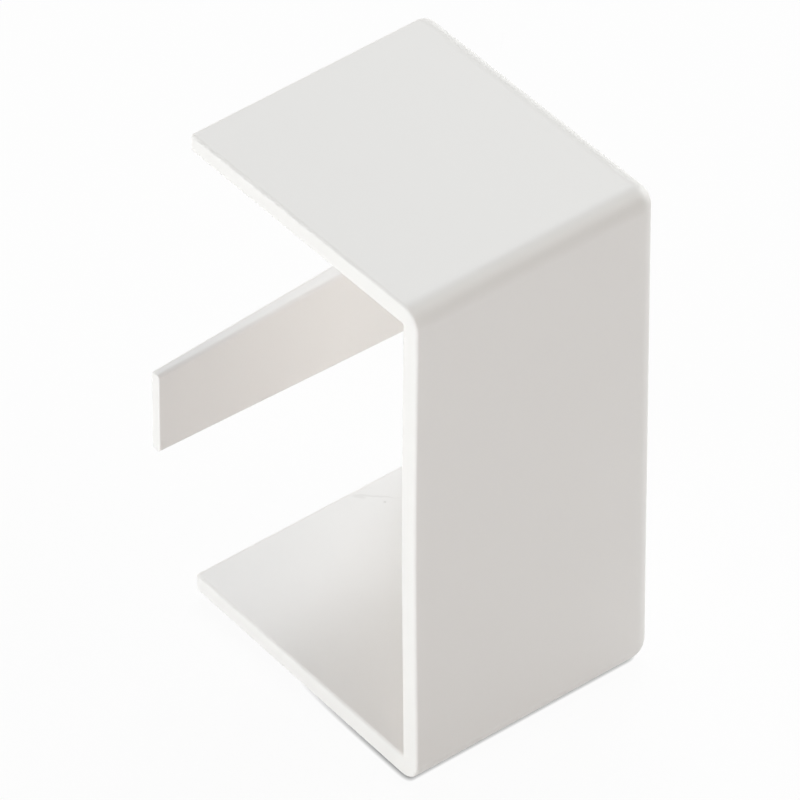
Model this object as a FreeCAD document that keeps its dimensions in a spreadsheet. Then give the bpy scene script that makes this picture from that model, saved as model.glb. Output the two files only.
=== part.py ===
import FreeCAD, Part
import os
import Sketcher

# Trunking end cap, one piece of moulded rigid plastic.
# It slips over the cut end of a surface-mounted trunking and closes it.
# Body frame: X runs along the trunking, from the open mouth at X = 0 to the closed end.
# Y runs from the lid face to the open back, which lies on the building wall.
# Z runs across the trunking, and the part is symmetric about its XY plane.

# Driving dimensions in millimetres
DIMENSIONS = (
    ("height", 44.0),               # across the trunking, over both side walls
    ("depth", 25.3),                # from the lid face to the open back
    ("length", 21.6),               # from the mouth to the closed end
    ("side_wall", 1.85),            # the walls beside the trunking, top and bottom as it stands
    ("side_taper", 0.3),            # how much thinner they are at the open back than at the lid
    ("lid_wall", 1.6),              # the wall that covers the trunking's lid
    ("end_wall", 1.6),              # the wall that closes the end
    ("side_lean", 0.65),            # how far each side wall's outside leans in at the open back
    ("lid_draft", 0.15),            # how far the lid face falls back towards the closed end
    ("outer_round", 2.0),           # outer edges of the lid face and of the end
    ("inner_round", 0.4),           # inner corners of the cavity
    ("rim_round", 0.25),            # broken edges of the mouth and of the open back
    ("tongue_reach", 5.1),          # how far the tongue stands out of the mouth
    ("tongue_tip_height", 7.15),
    ("tongue_tip_thickness", 0.85),
    ("tongue_tip_inset", 1.9),      # from the open back's plane to the tongue at its tip
    ("tongue_root_height", 8.85),
    ("tongue_root_thickness", 1.6),
    ("tongue_root_inset", 1.05),    # the same distance where the tongue is rooted
    ("tongue_round", 0.3),          # long edges of the tongue
)

# Distance by which each cut runs past the faces that it opens
CUT_CLEARANCE = 2.0

# Distance within which two points count as lying on the same plane
TOLERANCE = 0.001


def make_sheet(doc):
    sheet = doc.addObject("Spreadsheet::Sheet", "Sheet")
    for row, (alias, value) in enumerate(DIMENSIONS, start=1):
        sheet.set(f"A{row}", alias.replace("_", " "))
        sheet.set(f"B{row}", str(value))
        sheet.setAlias(f"B{row}", alias)
    doc.recompute()
    return sheet


def make_body(doc):
    """The body's XY plane is at half height, and the part stands on Z = 0 about its middle."""
    body = doc.addObject("PartDesign::Body", "EndCap")
    body.Label = "end_cap"
    body.setExpression("Placement.Base.x", "(Sheet.tongue_reach - Sheet.length) / 2")
    body.setExpression("Placement.Base.z", "Sheet.height / 2")
    doc.recompute()
    return body


def origin_plane(body, role):
    return [(next(item for item in body.Origin.OriginFeatures if item.Role == role), "")]


def upright_outline(body, name, station, wall, lean, lid_wall, behind_lid):
    """The long walls' outline at X = station, on their outside or a wall's thickness in.

    Its side lines lean towards each other, and it ends at a distance behind the lid face.
    """
    sketch = body.newObject("Sketcher::SketchObject", name)
    sketch.AttachmentSupport = origin_plane(body, "YZ_Plane")
    sketch.MapMode = "FlatFace"
    sketch.setExpression("AttachmentOffset.Base.z", station)

    def half_height(distance):
        return f"(Sheet.height / 2 - {wall} - {lean} * ({distance}) / Sheet.depth)"

    lid_side, back_side = f"{lid_wall} - Sheet.depth / 2", f"{behind_lid} - Sheet.depth / 2"
    corners = (
        (-1, -1, lid_side, f"-{half_height(lid_wall)}"),
        (1, -1, back_side, f"-{half_height(behind_lid)}"),
        (1, 1, back_side, half_height(behind_lid)),
        (-1, 1, lid_side, half_height(lid_wall)),
    )
    for start, end in zip(corners, corners[1:] + corners[:1]):
        line = Part.LineSegment(FreeCAD.Vector(*start[:2], 0), FreeCAD.Vector(*end[:2], 0))
        sketch.addGeometry(line, False)
    for edge, (_, _, across, up) in enumerate(corners):
        before = (edge - 1) % len(corners)
        sketch.addConstraint(Sketcher.Constraint("Coincident", before, 2, edge, 1))
        for kind, expression in (("DistanceX", across), ("DistanceY", up)):
            index = sketch.addConstraint(Sketcher.Constraint(kind, -1, 1, edge, 1, 1.0))
            sketch.setExpression(f"Constraints[{index}]", expression)
    return sketch


def extrude(body, kind, name, profile, length, **settings):
    feature = body.newObject(kind, name)
    feature.Profile = profile
    feature.setExpression("Length", length)
    for setting, value in settings.items():
        setattr(feature, setting, value)
    body.Document.recompute()
    return feature


def tapered_bar(body, kind, name, station, far_station, near_end, far_end):
    """A bar along X, its two ends given as lid side, back side and half height."""
    bar = body.newObject(kind, name)
    bar.AttachmentSupport = origin_plane(body, "XY_Plane")
    bar.MapMode = "FlatFace"
    # The wedge tapers along its own Y, which is turned here to run along the trunking
    turn = FreeCAD.Rotation(FreeCAD.Vector(0, 0, 1), -90)
    bar.AttachmentOffset = FreeCAD.Placement(FreeCAD.Vector(), turn)
    bar.setExpression("Ymin", station)
    bar.setExpression("Ymax", far_station)
    for prefix, (lid_side, back_side, half_height) in (("", near_end), ("2", far_end)):
        bar.setExpression(f"X{prefix}min", f"-({back_side})")
        bar.setExpression(f"X{prefix}max", f"-({lid_side})")
        bar.setExpression(f"Z{prefix}min", f"-({half_height})")
        bar.setExpression(f"Z{prefix}max", half_height)
    body.Document.recompute()
    return bar


def lid_slice(draft):
    """What is cut off the lid face at one end: lid side, back side and half height."""
    lid_side = f"-Sheet.depth / 2 - {CUT_CLEARANCE}"
    return lid_side, f"{draft} - Sheet.depth / 2", f"Sheet.height / 2 + {CUT_CLEARANCE}"


def tongue_end(end):
    """The tongue's lid side, back side and half height at its tip or root."""
    back_side = f"Sheet.depth / 2 - Sheet.tongue_{end}_inset"
    lid_side = f"{back_side} - Sheet.tongue_{end}_thickness"
    return lid_side, back_side, f"Sheet.tongue_{end}_height / 2"


def fillet(body, name, base, radius, wanted):
    """Rounds the edges of base for which wanted says yes."""
    feature = body.newObject("PartDesign::Fillet", name)
    edges = enumerate(base.Shape.Edges, start=1)
    feature.Base = (base, [f"Edge{number}" for number, edge in edges if wanted(edge)])
    feature.setExpression("Radius", radius)
    body.Document.recompute()
    return feature


def all_along(edge, test):
    """True if the test holds at both ends and at the middle of the edge."""
    middle = edge.valueAt((edge.FirstParameter + edge.LastParameter) / 2)
    return all(test(point) for point in [vertex.Point for vertex in edge.Vertexes] + [middle])


def make_end_cap(doc, sheet):
    body = make_body(doc)
    lid_face, open_back = -sheet.depth / 2, sheet.depth / 2

    # Outer block, its lid face drafted, and its lid and end edges rounded
    outline = upright_outline(body, "Outline", "0", "0", "Sheet.side_lean", "0", "Sheet.depth")
    extrude(body, "PartDesign::Pad", "Block", outline, "Sheet.length")
    drafted = tapered_bar(
        body, "PartDesign::SubtractiveWedge", "LidDraft", "0", "Sheet.length",
        lid_slice("0"), lid_slice("Sheet.lid_draft"),
    )

    def on_rim(edge):
        at_mouth = all_along(edge, lambda point: abs(point.x) < TOLERANCE)
        at_back = all_along(edge, lambda point: point.y > open_back - TOLERANCE)
        return at_mouth or at_back

    def outer_edge(edge):
        on_end = all_along(edge, lambda point: point.x > sheet.length - TOLERANCE)
        on_lid = all_along(edge, lambda point: point.y < lid_face + sheet.lid_draft + TOLERANCE)
        return (on_end or on_lid) and not on_rim(edge)

    rounded = fillet(body, "OuterRounds", drafted, "Sheet.outer_round", outer_edge)

    # Cavity, open at the mouth and at the back
    cavity_outline = upright_outline(
        body, "CavityOutline", f"-{CUT_CLEARANCE}", "Sheet.side_wall",
        "(Sheet.side_lean - Sheet.side_taper)", "Sheet.lid_wall", f"Sheet.depth + {CUT_CLEARANCE}",
    )
    cavity = extrude(
        body, "PartDesign::Pocket", "Cavity", cavity_outline,
        f"Sheet.length - Sheet.end_wall + {CUT_CLEARANCE}", Reversed=True,
    )

    def inner_edge(edge):
        beside = sheet.height / 2 - sheet.side_wall / 2
        behind_lid = lid_face + sheet.lid_wall / 2
        before_end = sheet.length - sheet.end_wall / 2
        enclosed = all_along(
            edge,
            lambda point: abs(point.z) < beside and point.y > behind_lid and point.x < before_end,
        )
        return enclosed and not on_rim(edge)

    cornered = fillet(body, "InnerRounds", cavity, "Sheet.inner_round", inner_edge)

    # Tongue, rooted in the middle of the end wall and running out past the mouth
    tongue = tapered_bar(
        body, "PartDesign::AdditiveWedge", "Tongue",
        "-Sheet.tongue_reach", "Sheet.length - Sheet.end_wall / 2",
        tongue_end("tip"), tongue_end("root"),
    )

    def tongue_edge(edge):
        ends = [vertex.X for vertex in edge.Vertexes]
        return min(ends) < TOLERANCE - sheet.tongue_reach and max(ends) > 0

    eased = fillet(body, "TongueRounds", tongue, "Sheet.tongue_round", tongue_edge)
    fillet(body, "RimRounds", eased, "Sheet.rim_round", on_rim)


def sub_parts(doc):
    return [item for item in doc.Objects if item.TypeId == "PartDesign::Body"]


def check(doc):
    """Stops with a message if a feature failed or a sub-part isn't one sound solid."""
    for item in doc.Objects:
        if {"Invalid", "Error"} & set(item.State):
            raise RuntimeError(f"{item.Name} failed: {item.State}")
    for body in sub_parts(doc):
        shape = body.Shape
        if shape.isNull() or not shape.isValid() or len(shape.Solids) != 1:
            raise RuntimeError(f"{body.Label} isn't one sound solid")


def export(doc):
    os.makedirs("parts", exist_ok=True)
    for body in sub_parts(doc):
        body.Shape.exportStep(os.path.join("parts", body.Label + ".step"))


document = FreeCAD.newDocument("TrunkingEndCap")
make_end_cap(document, make_sheet(document))
document.recompute()
check(document)
export(document)
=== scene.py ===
import math

import bmesh
import bpy
from mathutils import Matrix, Vector


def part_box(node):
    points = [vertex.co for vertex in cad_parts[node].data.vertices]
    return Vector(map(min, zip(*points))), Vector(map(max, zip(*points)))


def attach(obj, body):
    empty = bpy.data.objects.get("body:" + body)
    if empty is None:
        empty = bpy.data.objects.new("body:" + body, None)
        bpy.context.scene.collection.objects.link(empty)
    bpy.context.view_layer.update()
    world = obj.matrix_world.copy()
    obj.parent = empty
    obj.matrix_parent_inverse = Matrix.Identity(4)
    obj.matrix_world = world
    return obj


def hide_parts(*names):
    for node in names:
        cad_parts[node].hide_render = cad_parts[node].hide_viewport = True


# Trunking end cap: a small white moulding that closes the end of surface trunking.
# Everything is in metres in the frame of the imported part.
# X runs along the trunking to the closed end, Y from the lid face to the open back, Z is up.

MM = 0.001

# Walls and edges of the moulding, as in the part's own source
HEIGHT = 44.0 * MM
DEPTH = 25.3 * MM
LENGTH = 21.6 * MM
SIDE_WALL = 1.85 * MM           # where it leaves the lid face
SIDE_TAPER = 0.3 * MM           # how much thinner it is at the open back
FRONT_WALL = 1.6 * MM           # both the lid wall and the end wall
SIDE_LEAN = 0.65 * MM           # how far each side wall's outside leans in at the open back
LID_DRAFT = 0.15 * MM           # how far the lid face falls back towards the closed end
OUTER_ROUND = 1.75 * MM         # the solid has 2 mm, and the photograph shows a little less
RIM_ROUND = 0.25 * MM           # broken edges of the mouth and of the open back

# Tongue: inset from the open back, thickness and height, at its tip and at its root
TONGUE_REACH = 5.1 * MM
TONGUE_TIP = (1.9 * MM, 0.85 * MM, 7.15 * MM)
TONGUE_ROOT = (1.05 * MM, 1.6 * MM, 8.85 * MM)
TONGUE_ROUND = 0.3 * MM
TIP_ROUND = 0.12 * MM

# How far the lid wall has sunk in at the middle of its free edge, as such long walls do
LID_SINK = 0.2 * MM

# How finely the mesh is made, and how its points and faces are told apart
ROUND_SEGMENTS = 14
RIM_SEGMENTS = 4
TONGUE_SEGMENTS = 5
CIRCULAR = 0.5                  # a bevel with this profile is a part of a circle
GRID_STEP = 2.0 * MM            # long faces are cut at this spacing
NEAR = 0.05 * MM                # points this close count as lying at the same place
ON_PLANE = 1e-7                 # points this close to a cut's plane count as lying on it
FACING = 0.5                    # a face looks along an axis if its normal's share there is larger
SHARP = math.radians(30)        # an edge whose faces turn by more is sharp
FLAT_FACE_WEIGHT = 100          # how strongly the shading follows the large flat faces

# Camera: a long lens from above the mouth and the lid face, its angles in degrees
CAMERA_BEARING = -128.246
CAMERA_HEIGHT = 41.677
CAMERA_DISTANCE = 1015.6 * MM
CAMERA_AIM = Vector((-4.725, -6.339, 30.019)) * MM
CAMERA_LENS = 660.95            # in millimetres, as is the sensor's width
SENSOR_WIDTH = 36.0
CAMERA_REACH = 10.0

# Rigid PVC as it leaves the mould
PVC_WHITE = "#F4F2F0"
PVC_ROUGHNESS = 0.45
PVC_IOR = 1.53
GRAIN = 0.12 * MM               # the mould's grain is finer, and is drawn as coarse as it needs to show
GRAIN_DETAIL = 3.0
GRAIN_DEPTH = 0.01 * MM
GRAIN_STRENGTH = 0.15

# Faint grey marks in the skin of the bottom wall's inner face, behind the tongue's root:
# middle, turn about Z, half lengths of the oval, and how grey it is from 0 to 1
MARK_GREY = "#A9A59E"
MARK_TURN = math.radians(-43)
MARK_FADE = 0.4                 # the share of its half lengths up to which a mark keeps its grey
MARK_WANDER = 0.25 * MM         # how far the marks' outlines wander
MARK_WAVE = 1.5 * MM            # and over what length they do
MARKS = (
    # Flow line
    (Vector((6.95, 11.15, 2.18)) * MM, MARK_TURN, Vector((2.0, 0.13, 1.0)) * MM, 0.14),
    # Smudge
    (Vector((5.80, 11.95, 2.18)) * MM, MARK_TURN, Vector((0.60, 0.30, 1.0)) * MM, 0.12),
    # Speck
    (Vector((6.95, 10.22, 2.18)) * MM, 0.0, Vector((0.20, 0.20, 1.0)) * MM, 0.25),
)

# White paper under the object, and white surroundings
WHITE = "#FFFFFF"
SHOWS_WHITE = 1.0               # the strength at which a glow shows as white
PAPER_WHITE = "#EFEFEF"         # the paper as the lamps light it
PAPER_GLOW = 0.94               # how much of the paper's look is plain white, and not lit paper
CONTACT_SHADE = 0.35 * MM       # how far the painted contact shadow, a dark line where the object meets the paper, spreads
FLOOR_HALF = 1.5                # half the paper's side
AMBIENT = 0.02                  # strength of the surroundings' own light

# Soft lamps about the object: name, bearing from +X and height above the level in degrees,
# watts, colour
LAMP_AIM = Vector((0.0, 0.0, 22.0)) * MM
LAMP_DISTANCE = 0.6
LAMP_SIDE = 0.35
LAMPS = (
    ("end_side_low", 0, 8, 1.6, "#FCFFFE"),
    ("mouth_side_key", 180, 9, 2.43, "#F9FFFF"),
    ("mouth_front_fill", 225, 8, 1.19, "#FFF6F5"),
    ("front_overhead", 315, 50, 1.04, "#FFFCF4"),
    ("back_overhead", 45, 50, 1.71, "#F6FBFF"),
    ("back_low", 90, 8, 1.77, "#FFF4EC"),
)

# A colour mix's own sockets share their names with others of the node, so they go by number
MIX_SHARE, MIX_FROM, MIX_TO, MIX_RESULT = 0, 6, 7, 2


def linear(colour):
    """Turns an sRGB hex value such as #ECEAE6 into linear red, green, blue and alpha."""
    channels = [int(colour[i:i + 2], 16) / 255 for i in (1, 3, 5)]
    return tuple(c / 12.92 if c <= 0.04045 else ((c + 0.055) / 1.055) ** 2.4 for c in channels) + (1.0,)


def add_node(tree, kind, settings, inputs):
    """Adds a shader node, with its settings, and its inputs as values or as sockets to link from.

    Inputs that share a name go by their number.
    """
    node = tree.nodes.new("ShaderNode" + kind)
    for name, value in settings.items():
        setattr(node, name, value)
    for name, value in inputs.items():
        if isinstance(value, bpy.types.NodeSocket):
            tree.links.new(value, node.inputs[name])
        else:
            node.inputs[name].default_value = value
    return node


def empty_tree(owner):
    """The node tree of a material or of the world, with nothing in it."""
    owner.use_nodes = True
    owner.node_tree.nodes.clear()
    return owner.node_tree


def add_object(name, data):
    thing = bpy.data.objects.new(name, data)
    bpy.context.scene.collection.objects.link(thing)
    return thing


def add_mesh(name, bm):
    mesh = bpy.data.meshes.new(name)
    bm.to_mesh(mesh)
    bm.free()
    return add_object(name, mesh)


def stand_back(thing, aim, bearing, height, distance):
    """Sets a lamp or a camera back from its aim, facing it. Both angles are in degrees."""
    bearing, height = math.radians(bearing), math.radians(height)
    level = math.cos(height)
    towards = Vector((math.cos(bearing) * level, math.sin(bearing) * level, math.sin(height)))
    thing.location = aim + towards * distance
    thing.rotation_euler = towards.to_track_quat("Z", "Y").to_euler()


def near(vert, axis, place):
    return abs(vert.co[axis] - place) < NEAR


def lies_at(edge, axis, place):
    """True if both ends of the edge lie at that place along the axis."""
    return all(near(vert, axis, place) for vert in edge.verts)


def is_sharp(edge):
    return len(edge.link_faces) == 2 and edge.calc_face_angle() > SHARP


def in_lid_wall(vert, low):
    """True for points of the lid wall and of the rounds beside it."""
    return vert.co.y < low.y + 2 * OUTER_ROUND


def bevel(bm, edges, size, segments):
    bmesh.ops.bevel(
        bm, geom=edges, offset=size, offset_type="OFFSET", affect="EDGES",
        segments=segments, profile=CIRCULAR, material=-1, clamp_overlap=False,
    )


def cut(bm, axis, place):
    """Cuts every face that crosses a plane square to the axis, and keeps both sides."""
    normal = Vector([float(i == axis) for i in range(3)])
    geometry = [*bm.verts, *bm.edges, *bm.faces]
    bmesh.ops.bisect_plane(
        bm, geom=geometry, dist=ON_PLANE, plane_co=normal * place, plane_no=normal,
    )


def cut_grid(bm, low, high):
    """Cuts long faces into short ones, so that they can take a slight bend."""
    for axis in range(3):
        stations = int((high[axis] - low[axis]) / GRID_STEP)
        for station in range(1, stations):
            cut(bm, axis, low[axis] + station * GRID_STEP)


def make_outside(bm, low, high):
    """The walls' outside with its rounds, open at the mouth and at the back."""
    middle, size = (low + high) / 2, high - low
    bmesh.ops.create_cube(bm, size=1.0)
    place = Matrix.Translation(middle) @ Matrix.Diagonal((*size, 1.0))
    bmesh.ops.transform(bm, matrix=place, verts=bm.verts)
    bm.normal_update()
    openings = [
        face for face in bm.faces if face.normal.x < -FACING or face.normal.y > FACING
    ]
    bmesh.ops.delete(bm, geom=openings, context="FACES")

    # The side walls lean in at the back, and the lid face falls back towards the end
    lean = 1 - 2 * SIDE_LEAN / HEIGHT
    for vert in bm.verts:
        if vert.co.y > middle.y:
            vert.co.z = middle.z + (vert.co.z - middle.z) * lean
        elif vert.co.x > middle.x:
            vert.co.y += LID_DRAFT
    corners = [edge for edge in bm.edges if len(edge.link_faces) == 2]
    bevel(bm, corners, OUTER_ROUND, ROUND_SEGMENTS)


def grow_inwards(bm, low, high):
    """Gives the walls their thickness. The side walls taper from the lid to the open back."""
    middle = (low + high) / 2
    outside = set(bm.verts)
    bmesh.ops.solidify(bm, geom=bm.faces[:], thickness=FRONT_WALL)
    for vert in bm.verts:
        if vert not in outside:
            behind = (vert.co.y - low.y) / DEPTH
            grown_half = HEIGHT / 2 - FRONT_WALL - SIDE_LEAN * behind
            inner_half = HEIGHT / 2 - SIDE_WALL - (SIDE_LEAN - SIDE_TAPER) * behind
            vert.co.z = middle.z + (vert.co.z - middle.z) * inner_half / grown_half
            if in_lid_wall(vert, low):
                vert.co.y -= LID_DRAFT * (vert.co.x - low.x) / LENGTH
        if near(vert, 0, low.x):
            vert.co.x = low.x
        if near(vert, 1, high.y):
            vert.co.y = high.y


def break_rims(bm, low, high):
    """Eases the edges of the mouth and of the open back."""
    rims = [
        edge for edge in bm.edges
        if is_sharp(edge) and (lies_at(edge, 0, low.x) or lies_at(edge, 1, high.y))
    ]
    bevel(bm, rims, RIM_ROUND, RIM_SEGMENTS)


def add_tongue(bm, low, high):
    """Grows the tongue out of the end wall's inner face, tapering to its tip past the mouth."""
    end_face, tip = high.x - FRONT_WALL, low.x - TONGUE_REACH
    middle = (low.z + high.z) / 2
    inset, thickness, height = TONGUE_ROOT
    lid_side, back_side = high.y - inset - thickness, high.y - inset
    outline = ((1, lid_side), (1, back_side), (2, middle - height / 2), (2, middle + height / 2))
    for axis, place in outline:
        cut(bm, axis, place)

    def is_root(face):
        centre = face.calc_center_median()
        return (
            abs(centre.x - end_face) < NEAR
            and lid_side < centre.y < back_side
            and abs(centre.z - middle) < height / 2
        )

    roots = [face for face in bm.faces if is_root(face)]
    grown = bmesh.ops.extrude_face_region(bm, geom=roots)
    bmesh.ops.delete(bm, geom=roots, context="FACES_ONLY")
    ends = [item for item in grown["geom"] if isinstance(item, bmesh.types.BMVert)]
    inset, thickness, height = TONGUE_TIP
    for vert in ends:
        on_lid_side = vert.co.y < (lid_side + back_side) / 2
        vert.co.x = tip
        vert.co.y = high.y - inset - (thickness if on_lid_side else 0)
        vert.co.z = middle + math.copysign(height / 2, vert.co.z - middle)
    round_tongue(bm, set(ends), tip)


def round_tongue(bm, ends, tip):
    """Rounds the tongue's long edges, which each have one point at its tip, and then the tip's."""
    bm.normal_update()
    long_edges = [edge for edge in bm.edges if len(ends.intersection(edge.verts)) == 1]
    bevel(bm, long_edges, TONGUE_ROUND, TONGUE_SEGMENTS)
    bm.normal_update()
    tip_edges = [edge for edge in bm.edges if lies_at(edge, 0, tip) and is_sharp(edge)]
    bevel(bm, tip_edges, TIP_ROUND, RIM_SEGMENTS)


def sink_lid_wall(bm, low, high):
    """Lets the lid wall sag inwards, most at the middle of its free edge at the mouth."""
    middle = (low + high) / 2
    for vert in bm.verts:
        across = (vert.co.z - middle.z) / (HEIGHT / 2)
        along = (high.x - vert.co.x) / LENGTH
        if in_lid_wall(vert, low):
            vert.co.y += LID_SINK * max(0.0, 1 - across ** 2) ** 2 * along


def make_end_cap(low, high):
    """The whole moulding as one closed mesh, its block given by its low and high corners."""
    bm = bmesh.new()
    make_outside(bm, low, high)
    grow_inwards(bm, low, high)
    break_rims(bm, low, high)
    add_tongue(bm, low, high)
    cut_grid(bm, low, high)
    sink_lid_wall(bm, low, high)
    piece = add_mesh("moulded_end_cap", bm)
    piece.data.shade_smooth()
    weighted = piece.modifiers.new("Weighted Normal", "WEIGHTED_NORMAL")
    weighted.keep_sharp = True
    weighted.weight = FLAT_FACE_WEIGHT
    return piece


def oval_mark(tree, place, middle, turn, halves, grey):
    """A mask that falls from grey at the middle of a turned oval to 0 at its outline."""
    inside = add_node(tree, "Mapping", {"vector_type": "TEXTURE"}, {
        "Vector": place, "Location": middle, "Rotation": (0.0, 0.0, turn), "Scale": halves,
    })
    reach = add_node(tree, "VectorMath", {"operation": "LENGTH"}, {0: inside.outputs["Vector"]})
    fade = add_node(tree, "MapRange", {}, {
        "Value": reach.outputs["Value"], "From Min": MARK_FADE, "From Max": 1.0,
        "To Min": grey, "To Max": 0.0,
    })
    return fade.outputs["Result"]


def marked_colour(tree, place):
    """The white of the plastic with its faint grey marks."""
    wave = add_node(tree, "TexNoise", {"normalize": False}, {"Vector": place, "Scale": 1 / MARK_WAVE})
    wandering = add_node(tree, "VectorMath", {"operation": "MULTIPLY_ADD"}, {
        0: wave.outputs["Color"], 1: (MARK_WANDER,) * 3, 2: place,
    }).outputs["Vector"]
    colour = linear(PVC_WHITE)
    for mark in MARKS:
        grey = oval_mark(tree, wandering, *mark)
        mixed = add_node(tree, "Mix", {"data_type": "RGBA"}, {
            MIX_SHARE: grey, MIX_FROM: colour, MIX_TO: linear(MARK_GREY),
        })
        colour = mixed.outputs[MIX_RESULT]
    return colour


def moulded_pvc():
    """Injection-moulded rigid PVC, white: a satin skin, very finely grained by the mould."""
    material = bpy.data.materials.new("injection_moulded_rigid_pvc")
    tree = empty_tree(material)
    place = add_node(tree, "TexCoord", {}, {}).outputs["Object"]
    grain = add_node(tree, "TexNoise", {}, {
        "Vector": place, "Scale": 1 / GRAIN, "Detail": GRAIN_DETAIL,
    })
    bump = add_node(tree, "Bump", {}, {
        "Strength": GRAIN_STRENGTH, "Distance": GRAIN_DEPTH, "Height": grain.outputs["Fac"],
    })
    shader = add_node(tree, "BsdfPrincipled", {}, {
        "Base Color": marked_colour(tree, place), "Roughness": PVC_ROUGHNESS, "IOR": PVC_IOR,
        "Normal": bump.outputs["Normal"],
    })
    add_node(tree, "OutputMaterial", {}, {"Surface": shader.outputs["BSDF"]})
    return material


def seen_rays(tree):
    """1 for rays by which the camera sees the background, also in metal or through glass."""
    ray = add_node(tree, "LightPath", {}, {}).outputs
    seen = ray["Is Camera Ray"]
    for kind in ("Is Glossy Ray", "Is Transmission Ray"):
        either = add_node(tree, "Math", {"operation": "MAXIMUM"}, {0: seen, 1: ray[kind]})
        seen = either.outputs["Value"]
    return seen


def studio_paper():
    """White paper: matt, it shows as white with a painted contact shadow where the object meets it, and
    still takes a faint shadow of the object.
    """
    material = bpy.data.materials.new("white_paper")
    tree = empty_tree(material)
    paper = add_node(tree, "BsdfDiffuse", {}, {"Color": linear(PAPER_WHITE)}).outputs["BSDF"]
    # Painted contact shadow: ambient occlusion darkens the paper's white glow close to the object
    painted_contact_shadow = add_node(tree, "AmbientOcclusion", {}, {
        "Color": linear(WHITE), "Distance": CONTACT_SHADE,
    })
    white = add_node(tree, "Emission", {}, {
        "Color": painted_contact_shadow.outputs["Color"], "Strength": SHOWS_WHITE,
    })
    shown = add_node(tree, "MixShader", {}, {
        "Fac": PAPER_GLOW, 1: paper, 2: white.outputs["Emission"],
    })
    both = add_node(tree, "MixShader", {}, {
        "Fac": seen_rays(tree), 1: paper, 2: shown.outputs["Shader"],
    })
    add_node(tree, "OutputMaterial", {}, {"Surface": both.outputs["Shader"]})
    return material


def make_floor():
    bm = bmesh.new()
    bmesh.ops.create_grid(bm, x_segments=1, y_segments=1, size=FLOOR_HALF)
    floor = add_mesh("studio_floor", bm)
    floor.data.materials.append(studio_paper())


def make_camera():
    """The photograph's view: from beside the mouth, above, with a long lens."""
    data = bpy.data.cameras.new("camera")
    data.sensor_width = SENSOR_WIDTH
    data.lens = CAMERA_LENS
    data.clip_end = CAMERA_REACH
    camera = add_object("camera", data)
    stand_back(camera, CAMERA_AIM, CAMERA_BEARING, CAMERA_HEIGHT, CAMERA_DISTANCE)
    bpy.context.scene.camera = camera


def make_lamp(name, bearing, height, power, colour):
    """A square soft lamp that faces the object."""
    data = bpy.data.lights.new(name, "AREA")
    data.size = LAMP_SIDE
    data.energy = power
    data.color = linear(colour)[:3]
    stand_back(add_object(name, data), LAMP_AIM, bearing, height, LAMP_DISTANCE)


def make_surroundings():
    """Dim white surroundings, which the camera sees as plain white."""
    world = bpy.data.worlds.new("studio")
    tree = empty_tree(world)
    ray = add_node(tree, "LightPath", {}, {})
    dim = add_node(tree, "Background", {}, {"Color": linear(WHITE), "Strength": AMBIENT})
    white = add_node(tree, "Background", {}, {"Color": linear(WHITE), "Strength": SHOWS_WHITE})
    both = add_node(tree, "MixShader", {}, {
        "Fac": ray.outputs["Is Camera Ray"], 1: dim.outputs["Background"],
        2: white.outputs["Background"],
    })
    add_node(tree, "OutputWorld", {}, {"Surface": both.outputs["Shader"]})
    bpy.context.scene.world = world


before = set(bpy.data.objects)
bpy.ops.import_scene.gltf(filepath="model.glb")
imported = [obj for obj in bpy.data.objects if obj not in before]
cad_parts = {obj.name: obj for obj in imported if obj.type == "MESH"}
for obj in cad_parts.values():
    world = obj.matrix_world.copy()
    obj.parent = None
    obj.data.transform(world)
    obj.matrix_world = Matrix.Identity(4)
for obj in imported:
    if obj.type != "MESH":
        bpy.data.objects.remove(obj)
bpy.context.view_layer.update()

# The rounds take the highest and lowest points off the solid, so its box is a little lower than
# the block that the walls are made from, about the same middle
cad_low, cad_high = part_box("end_cap")
block_high = Vector((cad_high.x, cad_high.y, (cad_low.z + cad_high.z + HEIGHT) / 2))
end_cap = make_end_cap(block_high - Vector((LENGTH, DEPTH, HEIGHT)), block_high)
end_cap.data.materials.append(moulded_pvc())
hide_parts("end_cap")
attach(end_cap, "root")

make_floor()
make_camera()
make_surroundings()
for lamp in LAMPS:
    make_lamp(*lamp)
bpy.context.scene.view_settings.view_transform = "Standard"
